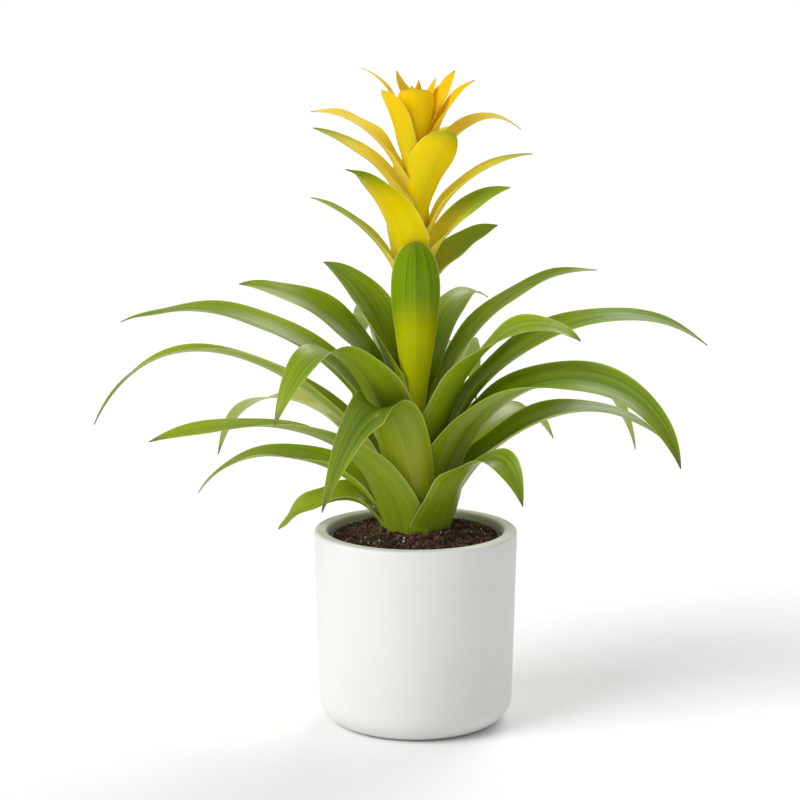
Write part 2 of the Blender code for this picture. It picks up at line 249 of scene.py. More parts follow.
@dataclass(frozen=True)
class BladeFinish:
    """Living leaf or bract: striped by fine parallel veins, with a thin pale margin.

    young, ripe and gold are the colours of a low, a middle and a high bract, each with a deep
    form for its darker stripes, which are partly the blade's own striping and partly painted
    shade; green is the colour of a leaf, or of a bract towards its tip.
    lit is the colour of light that comes through, glow its share and glow_lost how much of that
    is lost where the blade is green. pallor is how far the underside pales, and
    pale_and_lit_share and pale_and_lit_green_share how far a blade of pale tone is mixed towards
    whitish colours, partly its own paleness and partly painted light shining through it. A
    stretch is how often a pattern repeats across and along the blade.
    """

    pigment: Pigment
    young: Triple
    young_deep: Triple
    ripe: Triple
    deep: Triple
    gold: Triple
    gold_deep: Triple
    green: Triple
    green_deep: Triple
    under: Triple
    margin: Triple
    # Whitish colour that a blade of pale tone turns towards: partly its own paleness, partly painted light
    # shining through it.
    pale: Triple = (1.0, 0.93, 0.22)
    dry: Triple = (0.20, 0.15, 0.08)
    roughness: float = 0.30
    lit: Triple = (0.30, 0.42, 0.01)
    glow: float = 0.25
    glow_lost: float = 0.0
    coat: float = 0.25
    coat_roughness: float = 0.2
    gloss: float = 0.30
    pallor: float = 0.35
    pale_and_lit_share: float = 0.55
    pale_and_lit_green_share: float = 0.55
    fine_stretch: Triple = (95.0, 1.4, 1.0)
    broad_stretch: Triple = (17.0, 0.7, 1.0)
    mottle_scale: float = 38.0
    blotch_scale: float = 11.0
    freckle_scale: float = 260.0
    pale_and_lit_tones: Pair = (0.62, 1.0)
    rim_span: Pair = (0.468, 0.490)
    ridge_strength: float = 0.55
    ridge_height: float = 0.6 * MM

    def make(self) -> bpy.types.Material:
        """Build the material.

        The painted numbers are `green` (0 ripe to 1 green), `underside`, `dryness`, `tone`,
        `lemon` and `gold`. Veins are noise drawn out along the blade's own UV map. How light a
        stripe is comes from a weighted sum of the vein patterns, the blotches, the blade's tone
        and the distance from its midline, darker down the middle; these darker stripes are partly
        the blade's own striping and partly painted shade. A blade of pale tone is also mixed
        towards whitish colours, partly its own paleness and partly painted light shining through it.

        Returns:
            The material.
        """
        made, shader = new_material(f"{self.pigment.value}_tissue")
        uv = shader.node("ShaderNodeUVMap", {"uv_map": UV_MAP}, {})[0]
        split = shader.node("ShaderNodeSeparateXYZ", {}, {"Vector": uv})
        place = shader.place()
        fine = shader.noise(uv, 1.0, 3.0, self.fine_stretch)
        broad = shader.noise(uv, 1.0, 1.0, self.broad_stretch)
        mottle = shader.noise(place, self.mottle_scale, 3.0)
        blotch = shader.noise(place, self.blotch_scale, 1.0)
        vein = shader.step(fine, 0.38, 0.66)
        tone = shader.attribute("tone")
        keel = shader.node("ShaderNodeMath", {"operation": "ABSOLUTE"}, {0: split[0] - 0.5})[0]
        # Darker stripes: partly the blade's own striping, partly painted shade for contrast, darkest down the
        # midline.
        stripes_and_shade = 0.50 * broad + 0.30 * blotch + 0.40 * tone + 0.16 * vein + 0.22 * keel
        shade = shader.step(stripes_and_shade, 0.44, 0.90)
        green = shader.mix(shade, self.green_deep, self.green)
        young = shader.mix(shade, self.young_deep, self.young)
        full = shader.mix(shade, self.deep, self.ripe)
        top = shader.mix(shade, self.gold_deep, self.gold)
        ripe = shader.mix(shader.attribute("lemon"), young, full)
        ripe = shader.mix(shader.attribute("gold"), ripe, top)
        ripe = shader.mix(0.30 * shader.attribute("underside"), ripe, self.under)
        green = shader.mix(self.pallor * shader.attribute("underside"), green, self.under)
        # Blades of pale tone are whitened: partly their own paleness, partly painted light shining through
        # them.
        pale = shader.step(tone, *self.pale_and_lit_tones)
        ripe = shader.mix(self.pale_and_lit_share * pale, ripe, self.pale)
        green = shader.mix(self.pale_and_lit_green_share * pale, green, self.margin)
        body = shader.mix(shader.attribute("green"), ripe, green)
        body = shader.mix(0.14 * vein * shader.step(mottle, 0.3, 0.8), body, self.margin)
        rim = shader.step(keel, *self.rim_span)
        body = shader.mix(0.55 * rim, body, self.margin)
        freckle = shader.step(shader.noise(place, self.freckle_scale, 2.0), 0.70, 0.80)
        body = shader.mix(0.35 * freckle, body, self.dry)
        body = shader.mix(shader.attribute("dryness"), body, self.dry)
        rough = self.roughness + 0.16 * mottle - 0.08 * vein
        ridges = 0.7 * fine + 0.3 * broad
        normal = shader.bump(ridges, self.ridge_strength, self.ridge_height)
        skin = shader.principled(
            {"Base Color": body, "Roughness": rough, "Normal": normal, "Coat Weight": self.coat,
             "Coat Roughness": self.coat_roughness, "Specular IOR Level": self.gloss},
        )
        lit = {"Color": (*self.lit, 1.0), "Normal": normal}
        through = shader.node("ShaderNodeBsdfTranslucent", {}, lit)[0]
        glow = self.glow - self.glow_lost * shader.attribute("green")
        both = shader.node("ShaderNodeMixShader", {}, {0: glow, 1: skin, 2: through})[0]
        shader.finish(both)
        return made


@dataclass(frozen=True)
class PotFinish:
    """Matt off-white glaze with faint clouds, turning marks and specks."""

    body: Triple = (0.75, 0.742, 0.720)
    shade: Triple = (0.69, 0.677, 0.650)
    speck: Triple = (0.52, 0.49, 0.44)
    cloud_scale: float = 9.0
    fine_scale: float = 420.0
    speck_scale: float = 330.0
    turning_marks: Triple = (14.0, 14.0, 120.0)
    relief: float = 0.4 * MM

    def make(self) -> bpy.types.Material:
        """Build the material on Object coordinates.

        Returns:
            The material.
        """
        made, shader = new_material("pot_glaze")
        place = shader.place()
        cloud = shader.noise(place, self.cloud_scale, 3.0)
        fine = shader.noise(place, self.fine_scale, 3.0)
        brush = shader.noise(place, 1.0, 2.0, self.turning_marks)
        colour = shader.mix(shader.step(0.85 * cloud + 0.15 * brush, 0.40, 0.80), self.body, self.shade)
        specks = shader.step(shader.noise(place, self.speck_scale, 1.0), 0.76, 0.80)
        colour = shader.mix(0.35 * specks, colour, self.speck)
        normal = shader.bump(0.6 * fine + 0.4 * brush, 0.12, self.relief)
        inputs = {"Base Color": colour, "Roughness": 0.50 + 0.18 * cloud, "Normal": normal}
        shader.finish(shader.principled(inputs))
        return made


@dataclass(frozen=True)
class GrainFinish:
    """A rough natural grain: two colours mixed by noise, with bump.

    scale is the noise's, in waves a metre, and relief the height of the bump in metres.
    """

    name: str
    light: Triple
    dark: Triple
    scale: float
    roughness: float
    relief: float

    def make(self) -> bpy.types.Material:
        """Build the material on Object coordinates.

        Returns:
            The material.
        """
        made, shader = new_material(self.name)
        place = shader.place()
        coarse = shader.noise(place, self.scale, 4.0)
        fine = shader.noise(place, self.scale * 5.0, 2.0)
        colour = shader.mix(shader.step(0.6 * coarse + 0.4 * fine, 0.38, 0.66), self.dark, self.light)
        normal = shader.bump(fine, 0.6, self.relief)
        inputs = {"Base Color": colour, "Roughness": self.roughness + 0.1 * coarse, "Normal": normal}
        shader.finish(shader.principled(inputs))
        return made


# The deep colours are partly the blades' own darker stripes and partly painted shade.
LIME, LIME_DEEP = (0.62, 0.66, 0.010), (0.42, 0.50, 0.004)
LEAF_FINISH = BladeFinish(
    Pigment.LEAF,
    young=LIME, young_deep=LIME_DEEP, ripe=LIME, deep=LIME_DEEP, gold=LIME, gold_deep=LIME_DEEP,
    green=(0.400, 0.545, 0.0), green_deep=(0.088, 0.170, 0.0), under=(0.36, 0.46, 0.02),
    margin=(0.70, 0.78, 0.22),
)
BRACT_FINISH = BladeFinish(
    Pigment.BRACT,
    young=(0.62, 0.74, 0.0), young_deep=(0.40, 0.50, 0.0),
    ripe=(0.98, 0.86, 0.0), deep=(0.90, 0.66, 0.0),
    gold=(1.0, 0.72, 0.0), gold_deep=(0.98, 0.55, 0.0),
    green=(0.225, 0.370, 0.0), green_deep=(0.080, 0.155, 0.0), under=(0.92, 0.78, 0.0),
    margin=(0.98, 0.92, 0.25),
    lit=(1.0, 0.82, 0.03), roughness=0.40, glow=0.32, glow_lost=0.22, coat=0.0, gloss=0.08, pallor=0.0,
    pale_and_lit_green_share=0.12,
)
SOIL_FINISH = GrainFinish("potting_mix", (0.045, 0.022, 0.013), (0.008, 0.004, 0.003), 210.0, 0.9, 0.0012)
CRUMB_FINISH = GrainFinish("mix_crumbs", (0.068, 0.032, 0.018), (0.012, 0.006, 0.004), 260.0, 0.85, 0.0006)
FIBRE_FINISH = GrainFinish("mix_fibres", (0.30, 0.155, 0.085), (0.035, 0.015, 0.008), 120.0, 0.8, 0.0002)
BARK_FINISH = GrainFinish("bark_bits", (0.20, 0.085, 0.045), (0.055, 0.022, 0.012), 160.0, 0.75, 0.0006)
PERLITE_FINISH = GrainFinish("perlite", (0.82, 0.80, 0.76), (0.55, 0.52, 0.47), 420.0, 0.8, 0.0003)
STEM_FINISH = GrainFinish("stem_tissue", (0.62, 0.58, 0.05), (0.36, 0.40, 0.03), 40.0, 0.45, 0.0003)
LINER_FINISH = GrainFinish("liner_plastic", (0.030, 0.034, 0.030), (0.012, 0.014, 0.012), 60.0, 0.38, 0.0001)


# ---- meshes


def ease(start: float, end: float, value: np.ndarray) -> np.ndarray:
    """Smooth step: 0 before start, 1 after end, and 3s^2 - 2s^3 of the share s between."""
    share = np.clip((value - start) / (end - start), 0.0, 1.0)
    return share * share * (3 - 2 * share)


def unit(vectors: np.ndarray) -> np.ndarray:
    """Scale each row to length 1."""
    return vectors / np.linalg.norm(vectors, axis=-1, keepdims=True)


def grid_faces(rows: int, columns: int, first: int, wrap: bool) -> np.ndarray:
    """Quads of a grid of points.

    Args:
        rows: number of rows of points.
        columns: number of points in a row.
        first: index of the grid's first point.
        wrap: whether each row closes on itself.

    Returns:
        An array of quads, each four point indices.
    """
    index = first + np.arange(rows * columns).reshape(rows, columns)
    if wrap:
        index = np.concatenate([index, index[:, :1]], axis=1)
    corners = (index[:-1, :-1], index[:-1, 1:], index[1:, 1:], index[1:, :-1])
    return np.stack([corner.ravel() for corner in corners], axis=1)


def tube_faces(rings: int, steps: int) -> np.ndarray:
    """Triangles of a closed tube.

    The points lie ring after ring, then the pole that closes the first ring by a fan, then the
    pole that closes the last one.

    Args:
        rings: number of rings.
        steps: number of points in a ring.

    Returns:
        An array of triangles, each three point indices.
    """
    quads = grid_faces(rings, steps, 0, True)
    sides = np.concatenate([quads[:, [0, 1, 2]], quads[:, [0, 2, 3]]])
    here = np.arange(steps)
    after = (here + 1) % steps
    last, pole = (rings - 1) * steps, rings * steps
    start_fan = np.stack([np.full(steps, pole), after, here], axis=1)
    end_fan = np.stack([np.full(steps, pole + 1), last + here, last + after], axis=1)
    return np.concatenate([sides, start_fan, end_fan])[:, ::-1]


def copies(faces: np.ndarray, count: int, size: int) -> np.ndarray:
    """Repeat the faces of one shape for `count` shapes of `size` points laid one after another."""
    return (faces[None] + (np.arange(count) * size)[:, None, None]).reshape(-1, faces.shape[1])


def make_mesh(name: str, points: np.ndarray, faces: np.ndarray) -> bpy.types.Mesh:
    """Put whole arrays into a smooth mesh.

    Args:
        name: the mesh's name.
        points: one row of x, y, z for each point.
        faces: one row of point indices for each face, all quads or all triangles.

    Returns:
        The mesh.
    """
    mesh = bpy.data.meshes.new(name)
    sides = faces.shape[1]
    mesh.vertices.add(len(points))
    mesh.vertices.foreach_set("co", points.astype(np.float32).ravel())
    mesh.loops.add(faces.size)
    mesh.loops.foreach_set("vertex_index", faces.astype(np.int32).ravel())
    mesh.polygons.add(len(faces))
    mesh.polygons.foreach_set("loop_start", np.arange(0, faces.size, sides, dtype=np.int32))
    mesh.update(calc_edges=True)
    mesh.validate()
    mesh.shade_smooth()
    return mesh


def paint(mesh: bpy.types.Mesh, name: str, values: np.ndarray) -> None:
    """Paint a number on every point."""
    layer = mesh.attributes.new(name, "FLOAT", "POINT")
    layer.data.foreach_set("value", values.astype(np.float32).ravel())


def add_piece(name: str, mesh: bpy.types.Mesh, finish: bpy.types.Material) -> bpy.types.Object:
    """Link a mesh as a piece that rides on the plant's only body.

    Args:
        name: the piece's name.
        mesh: its mesh.
        finish: its material.

    Returns:
        The piece's object.
    """
    thing = bpy.data.objects.new(name, mesh)
    thing.data.materials.append(finish)
    bpy.context.scene.collection.objects.link(thing)
    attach(thing, BODY)
    return thing


def revolve(name: str, profile: np.ndarray, steps: int) -> bpy.types.Mesh:
    """Turn a profile about the Z axis.

    Each profile point (radius, height) becomes a ring: x = radius cos a, y = radius sin a. The
    profile starts and ends on the axis, where the ring is closed by a fan.

    Args:
        name: the mesh's name.
        profile: the profile's points.
        steps: number of points in a ring.

    Returns:
        The closed mesh.
    """
    ring = profile[1:-1]
    angle = np.linspace(0.0, math.tau, steps, endpoint=False)
    radius = ring[:, :1]
    height = np.repeat(ring[:, 1:], steps, axis=1)
    points = np.stack([radius * np.cos(angle), radius * np.sin(angle), height], axis=-1)
    poles = np.array([[0.0, 0.0, profile[0, 1]], [0.0, 0.0, profile[-1, 1]]])
    return make_mesh(name, np.concatenate([points.reshape(-1, 3), poles]), tube_faces(len(ring), steps))


def arc(centre: Pair, radius: float, start: float, end: float, count: int) -> np.ndarray:
    """Points on a circular arc in the profile plane, from start to end degrees."""
    angle = np.radians(np.linspace(start, end, count))
    return np.stack([centre[0] + radius * np.cos(angle), centre[1] + radius * np.sin(angle)], axis=1)


def between(start: Pair, end: Pair, count: int) -> np.ndarray:
    """Points evenly spaced between two others, which are left out."""
    return np.linspace(start, end, count + 2)[1:-1]


# ---- blades


@dataclass(frozen=True)
class Habit:
    """How one kind of leaf is formed.

    free_from and free_to are the reach, in millimetres, over which the clasping base opens into
    a free blade; base is the width at the base as a share of the full width, reached by `swell`;
    taper and point are the exponents of the taper; channel is the half-angle of its section at
    the base, and channel_drop how much of it is lost by the tip. ripple is how far the margins
    wave, in millimetres, sunk is the share of its length by which the base runs on below the
    first point, under the blades outside it, and dry_tip is how dry its tip is, 0 to 1.
    """

    free_from: float
    free_to: float
    base: float
    swell: float
    taper: float
    point: float
    channel: float
    channel_drop: float
    ripple: float
    sunk: float
    dry_tip: float


STRAP = Habit(
    free_from=26, free_to=48, base=1.30, swell=0.34, taper=3.2, point=0.86,
    channel=0.95, channel_drop=0.60, ripple=0.9, sunk=0.02, dry_tip=0.9,
)
NECKED = replace(STRAP, base=0.68, swell=0.50)
BRACT = Habit(
    free_from=11, free_to=24, base=1.10, swell=0.35, taper=2.8, point=0.85,
    channel=0.95, channel_drop=0.55, ripple=0.5, sunk=0.08, dry_tip=0.7,
)
BROAD = Habit(
    free_from=14, free_to=30, base=0.38, swell=0.70, taper=6.0, point=0.56,
    channel=0.95, channel_drop=0.40, ripple=0.4, sunk=0.16, dry_tip=0.25,
)
BLUNT = replace(BROAD, base=0.55, swell=0.60, taper=14.0, point=0.42, channel=0.80, channel_drop=0.30)
LEANING = replace(BROAD, taper=4.0, point=0.60)


@dataclass(frozen=True)
class Blade:
    """One leaf or bract.

    The heading is in degrees and lengths are in millimetres. midrib holds the four (reach, height)
    points that the midrib runs through, sweep is how far the tip is carried sideways, roll turns
    the blade (degrees). green is where along the blade it turns from ripe to green and where it
    is fully green; past 1 it stays ripe. tone is 0 for a dark blade to 1 for a pale one; a darker
    tone deepens its darker stripes, partly painted shade, and a paler one paints light shining
    through it.
    """

    heading: float
    width: float
    midrib: tuple[Pair, ...]
    sweep: float
    roll: float
    green: Pair = (-0.14, 0.44)
    tone: float = 0.5
    habit: Habit = STRAP


ROSETTE: tuple[Blade, ...] = (
    Blade(166, 36, ((25, 147.5), (44, 164), (75, 161), (106, 138)), 0, -25, (-0.2, 0.9), 0.60),
    Blade(312, 38, ((25.8, 147.6), (41, 180), (78, 209), (112, 180)), 0, 15, (-1.0, -0.3), 0.30),
    Blade(98, 36, ((23.4, 150), (50, 188), (104, 200), (150, 164)), 0, 0),
    Blade(169, 36, ((22.5, 153), (60, 186), (116, 196), (166, 165)), 0, -8, tone=0.45),
    Blade(12, 38, ((22.6, 151), (46, 191), (112, 228), (194, 200)), 0, 10, tone=0.45),
    Blade(271, 44, ((24, 150), (32, 203), (52, 243), (66, 172)), -68, -15, (0.0, 0.80), 0.38, NECKED),
    Blade(142, 36, ((22.4, 155), (76, 218), (140, 228), (196, 176)), 0, 0, (-0.3, 1.5), 0.9),
    Blade(56, 34, ((25.4, 147.5), (66, 188), (126, 212), (200, 180)), 0, 15, (-0.3, 1.5), 0.6),
    Blade(236, 38, ((26.4, 148), (50, 200), (106, 233), (160, 223)), -120, -10, (-1.0, -0.3), 0.45),
    Blade(336, 48, ((19, 163), (64, 245), (138, 264), (203, 207)), 0, 25, tone=0.40),
    Blade(110, 32, ((20.2, 160.5), (59, 226), (100, 240), (134, 198)), 0, 0, (-0.3, 1.5), 0.9),
    Blade(35, 38, ((20.5, 158), (80, 232), (150, 243), (212, 180)), 0, 10, (-0.3, 1.5), 0.8),
    Blade(180, 36, ((16.6, 176), (76, 245), (160, 278), (236, 223)), 0, 5, tone=0.65),
    Blade(6, 40, ((16, 176), (60, 262), (140, 300), (217, 278)), 0, 15, tone=0.45),
    Blade(74, 36, ((17.8, 171), (62, 247), (122, 266), (180, 210)), 0, 0, tone=0.6),
    Blade(235, 48, ((16.4, 182), (44, 243), (97, 289), (168, 248)), 0, 0, tone=0.55),
    Blade(326, 50, ((15, 184), (44, 264), (88, 301), (138, 297)), 0, 20, (-0.10, 0.40), 0.50),
    Blade(166, 40, ((15.5, 186), (72, 269), (150, 301), (228, 291)), 0, -10),
    Blade(105, 38, ((14.5, 192), (60, 270), (120, 292), (180, 250)), 0, 0, tone=0.6),
    Blade(184, 42, ((13.4, 199), (42, 282), (80, 315), (128, 328)), 0, -30, (0.0, 0.30), 0.45),
    Blade(14, 34, ((13, 200), (42, 288), (84, 322), (138, 333)), 0, 8, (0.18, 0.52), 0.55),
    Blade(134, 28, ((11.5, 208), (20, 260), (46, 296), (82, 290)), 0, 0),
    Blade(60, 32, ((10.4, 215), (15, 262), (38, 295), (112, 304)), 0, 10, tone=0.6),
    Blade(160, 40, ((8.4, 228), (17, 273), (38, 316), (72, 340)), 0, -35, (0.28, 0.62), 0.30),
)

SPIKE: tuple[Blade, ...] = (
    Blade(268, 47, ((9, 236), (14, 278), (18, 320), (20, 360)), 0, 0, (0.40, 0.72), 0.45, BROAD),
    Blade(80, 34, ((9, 250), (14, 290), (30, 325), (60, 345)), 0, 0, (0.2, 0.6), 0.5, BRACT),
    Blade(122, 24, ((8, 290), (12, 320), (23, 348), (40, 366)), 0, 0, (1.2, 1.6), 0.8, BRACT),
    Blade(15, 32, ((8, 306), (16, 334), (36, 356), (62, 368)), 0, 30, (0.22, 0.66), 0.95, BRACT),
    Blade(180, 22, ((8.5, 312), (20, 345), (46, 374), (76, 390)), 0, -10, (0.25, 0.75), 0.95, BRACT),
    Blade(0, 34, ((8, 322), (16, 354), (38, 382), (68, 397)), 0, 30, (0.36, 0.80), 0.85, BRACT),
    Blade(225, 48, ((7.5, 322), (13, 352), (34, 392), (70, 414)), 0, 0, (0.62, 1.0), 0.6, BRACT),
    Blade(2, 22, ((8, 342), (20, 384), (50, 411), (84, 421)), 0, 15, (0.60, 1.10), 0.9, BRACT),
    Blade(104, 30, ((7.2, 346), (12, 372), (30, 398), (58, 410)), 0, 0, (0.7, 1.1), 0.6, BRACT),
    Blade(182, 34, ((8, 366), (20, 402), (44, 425), (74, 440)), 0, -15, (0.60, 1.05), 0.85, BRACT),
    Blade(284, 44, ((7.4, 374), (12, 398), (18, 420), (27, 438)), 20, 0, (0.80, 1.15), 0.58, LEANING),
    Blade(58, 24, ((7.4, 381), (14, 408), (28, 430), (48, 438)), 0, 0, (0.9, 1.3), 0.8, BRACT),
    Blade(176, 26, ((7.2, 388), (18, 418), (42, 443), (76, 451)), 0, -15, (0.92, 1.3), 0.9, BRACT),
    Blade(19, 22, ((7.2, 391), (21, 424), (45, 444), (81, 437)), 0, 15, (0.92, 1.3), 0.9, BRACT),
    Blade(205, 32, ((6.8, 393), (11, 424), (18, 448), (26, 467)), 0, 0, (1.2, 1.6), 0.68, BLUNT),
    Blade(350, 30, ((6.6, 401), (13, 430), (24, 456), (42, 474)), 0, 20, (1.2, 1.6), 0.6, BRACT),
    Blade(105, 28, ((6.4, 402), (11, 422), (26, 440), (48, 446)), 0, 0, (1.2, 1.6), 0.7, BRACT),
    Blade(266, 38, ((5.8, 409), (9, 428), (12, 448), (13, 468)), 0, 0, (1.2, 1.6), 0.60, BLUNT),
    Blade(95, 22, ((5.8, 410), (9, 434), (18, 452), (32, 468)), 0, 0, (1.2, 1.6), 0.7, BRACT),
    Blade(22, 26, ((4.6, 417), (8.5, 438), (18, 460), (30, 480)), 0, 20, (1.2, 1.6), 0.5, BRACT),
    Blade(160, 10, ((4.6, 420), (9, 443), (22, 468), (42, 482)), 0, 0, (1.0, 1.4), 0.8, BRACT),
    Blade(45, 14, ((4, 424), (7, 444), (12, 459), (20, 474)), 0, 0, (1.2, 1.6), 0.5, BRACT),
    Blade(150, 26, ((3.6, 425), (5, 442), (10, 462), (16, 480)), 0, 0, (1.2, 1.6), 0.8, BRACT),
    Blade(285, 12, ((3, 432), (4, 446), (5, 460), (7, 474)), 0, 0, (1.2, 1.6), 0.1, BRACT),
)


@dataclass
class Foliage:
    """Rosette and flower spike: builds each blade as a closed solid that replaces its CAD node.

    The spans are places along a blade, 0 to 1, except lemon_span and gold_span, which are the
    heights in metres over which bracts turn from lime to lemon and from lemon to gold. waves is
    the least and greatest number of ripples along a margin, crease_width is a share of the half
    width, and green_edge is how much sooner the margins turn green.
    """

    rows: int = 96
    columns: int = 18
    thickness: float = 0.55 * MM
    edge_thickness: float = 0.25 * MM
    tip_width: float = 0.7 * MM
    clasp_limit: float = 1.45
    flattest: float = 0.12
    crease: float = 0.7 * MM
    crease_width: float = 0.10
    full_ripple_width: float = 16 * MM
    least_reach: float = 2.5 * MM
    channel_span: Pair = (0.1, 0.9)
    roll_span: Pair = (0.1, 0.7)
    calm_span: Pair = (0.12, 0.35)
    dry_span: Pair = (0.955, 1.0)
    waves: Pair = (1.6, 3.4)
    green_edge: float = 0.10
    lemon_span: Pair = (0.290, 0.385)
    gold_span: Pair = (0.400, 0.475)
    seed: int = 7
    finishes: dict[Pigment, bpy.types.Material] = field(default_factory=dict)

    def across(self) -> np.ndarray:
        """Places from margin to margin, -1 to 1, the sine of even steps."""
        return np.sin(np.linspace(-math.pi / 2, math.pi / 2, self.columns))

    def along(self, habit: Habit) -> np.ndarray:
        """Places from the sunken base to the tip, in even steps."""
        return np.linspace(-habit.sunk, 1.0, self.rows)

    @staticmethod
    def through(points: tuple[Pair, ...], along: np.ndarray) -> np.ndarray:
        """Midrib curve: the Lagrange cubic through four points at their shares of the chord length.

        Args:
            points: the four points, each (reach, height).
            along: where on the curve to work it out, 0 to 1.

        Returns:
            One row of reach and height for each place.
        """
        given = np.asarray(points, float)
        chords = np.linalg.norm(np.diff(given, axis=0), axis=1)
        knots = np.concatenate([[0.0], np.cumsum(chords)]) / chords.sum()
        curve = np.zeros((len(along), 2))
        for i, knot in enumerate(knots):
            others = np.delete(knots, i)
            weight = np.prod((along[:, None] - others) / (knot - others), axis=1)
            curve += weight[:, None] * given[i]
        return curve

    def surfaces(self, blade: Blade, chance: np.random.Generator) -> tuple[np.ndarray, np.ndarray]:
        """Inner and outer faces of a blade.

        The section is an arc of half-angle a and radius r = half width / a, so a point across at u
        lies r sin(a u) to the side and r (1 - cos(a u)) towards the stem. At the base it is level
        and centred on the stem; further out it is square to the midrib. The margins ripple by a
        sum of sines along the blade times u^2, and a crease runs down the middle.

        Args:
            blade: the blade's row.
            chance: random numbers for its ripples.

        Returns:
            Two grids of points, rows by columns by 3.
        """
        habit = blade.habit
        along, across = self.along(habit), self.across()
        heading = math.radians(blade.heading)
        outward = np.array([math.cos(heading), math.sin(heading), 0.0])
        sideways = np.array([-math.sin(heading), math.cos(heading), 0.0])
        reach, height = (self.through(blade.midrib, along) * MM).T
        reach = np.maximum(reach, self.least_reach)
        midrib = reach[:, None] * outward + (blade.sweep * MM * along**2)[:, None] * sideways
        midrib[:, 2] += height
        tangent = unit(np.gradient(midrib, along, axis=0))
        side = unit(sideways - (tangent @ sideways)[:, None] * tangent)
        free = ease(habit.free_from * MM, habit.free_to * MM, reach)
        inward = unit(-(1 - free)[:, None] * outward + free[:, None] * np.cross(tangent, side))

        share = habit.base + (1 - habit.base) * ease(0.0, habit.swell, along)
        taper = np.clip(1 - np.maximum(along, 0.0) ** habit.taper, 0.0, 1.0) ** habit.point
        half = np.maximum(blade.width * MM * share * taper, self.tip_width) / 2
        clasp = np.minimum(half / reach, self.clasp_limit)
        channel = habit.channel - habit.channel_drop * ease(*self.channel_span, along)
        half = (1 - free) * clasp * reach + free * half
        angle = np.maximum((1 - free) * clasp + free * channel, self.flattest)
        radius = half / angle

        roll = math.radians(blade.roll) * ease(*self.roll_span, along)
        lateral = side * np.cos(roll)[:, None] + inward * np.sin(roll)[:, None]
        normal = inward * np.cos(roll)[:, None] - side * np.sin(roll)[:, None]
        turn = angle[:, None] * across
        waves = chance.uniform(*self.waves, 4)
        phases = chance.uniform(0.0, math.tau, 4)
        left = sum(np.sin(math.tau * w * along + p) for w, p in zip(waves[:2], phases[:2]))
        right = sum(np.sin(math.tau * w * along + p) for w, p in zip(waves[2:], phases[2:]))
        edge = np.where(across[None, :] < 0, left[:, None], right[:, None]) * across[None, :] ** 2
        calm = (ease(*self.calm_span, along) * np.minimum(2 * half / self.full_ripple_width, 1.0))[:, None]
        ripple = habit.ripple * MM * edge * calm
        groove = -self.crease * np.exp(-((across / self.crease_width) ** 2))[None, :] * calm
        thick = self.edge_thickness + (self.thickness - self.edge_thickness) * (1 - across**4)
        faces = []
        for offset in (0.0, 1.0):
            wide = radius[:, None] + offset * thick[None, :]
            shift = (wide * np.sin(turn))[..., None] * lateral[:, None]
            rise = radius[:, None] - wide * np.cos(turn) + ripple + groove
            faces.append(midrib[:, None] + shift + rise[..., None] * normal[:, None])
        return faces[0], faces[1]

    def build(self, name: str, blade: Blade, pigment: Pigment, chance: np.random.Generator) -> None:
        """Make one blade and let it stand for its CAD node.

        Args:
            name: the CAD node's name.
            blade: the blade's row.
            pigment: which tissue it is made of.
            chance: random numbers for its ripples.
        """
        inner, outer = self.surfaces(blade, chance)
        rows, columns = inner.shape[:2]
        count = rows * columns
        points = np.concatenate([inner.reshape(-1, 3), outer.reshape(-1, 3)])
        index = np.arange(count).reshape(rows, columns)
        front = grid_faces(rows, columns, 0, False)[:, ::-1]
        back = grid_faces(rows, columns, count, False)
        border = np.concatenate([index[:, 0], index[-1, 1:-1], index[::-1, -1], index[0, -2:0:-1]])
        after = np.roll(border, -1)
        rim = np.stack([border, border + count, after + count, after], axis=1)
        faces = np.concatenate([front, back, rim])
        mesh = make_mesh(f"{name}_skin", points, faces)
        self._map(mesh)
        self._paint(mesh, blade, points[:, 2])
        thing = add_piece(f"{name}_skin", mesh, self.finishes[pigment])
        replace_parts(thing, name)

    def _map(self, mesh: bpy.types.Mesh) -> None:
        """Lay the UV map: across in U, along in V, the same on both faces.

        Args:
            mesh: the blade's mesh, inner face first.
        """
        upward = np.linspace(0.0, 1.0, self.rows)
        grid = np.stack(np.meshgrid(self.across() / 2 + 0.5, upward), axis=-1).reshape(-1, 2)
        both = np.concatenate([grid, grid])
        corner = np.zeros(len(mesh.loops), np.int32)
        mesh.loops.foreach_get("vertex_index", corner)
        layer = mesh.uv_layers.new(name=UV_MAP)
        layer.data.foreach_set("uv", both[corner].astype(np.float32).ravel())

    def _paint(self, mesh: bpy.types.Mesh, blade: Blade, height: np.ndarray) -> None:
        """Paint greenness, underside, dryness, tone and the height's two colour changes.

        Args:
            mesh: the blade's mesh, inner face first.
            blade: the blade's row.
            height: the height of each point.
        """
        along = np.repeat(self.along(blade.habit), self.columns)
        across = np.tile(self.across(), self.rows)
        dry = blade.habit.dry_tip * ease(*self.dry_span, along)
        paint(mesh, "green", np.tile(ease(*blade.green, along + self.green_edge * across**2), 2))
        paint(mesh, "underside", np.repeat([0.0, 1.0], len(along)))
        paint(mesh, "dryness", np.tile(dry, 2))
        paint(mesh, "tone", np.full(len(height), blade.tone))
        paint(mesh, "lemon", ease(*self.lemon_span, height))
        paint(mesh, "gold", ease(*self.gold_span, height))

    def make(self) -> None:
        """Build every blade, rosette first."""
        self.finishes = {Pigment.LEAF: LEAF_FINISH.make(), Pigment.BRACT: BRACT_FINISH.make()}
        chance = np.random.default_rng(self.seed)
        for number, blade in enumerate(ROSETTE, start=1):
            self.build(f"leaf_{number:02d}", blade, Pigment.LEAF, chance)
        LOG.info("rosette of %d leaves", len(ROSETTE))
        for number, blade in enumerate(SPIKE, start=1):
            self.build(f"bract_{number:02d}", blade, Pigment.BRACT, chance)
        LOG.info("spike of %d bracts", len(SPIKE))


# ---- pot, liner, mix, stem


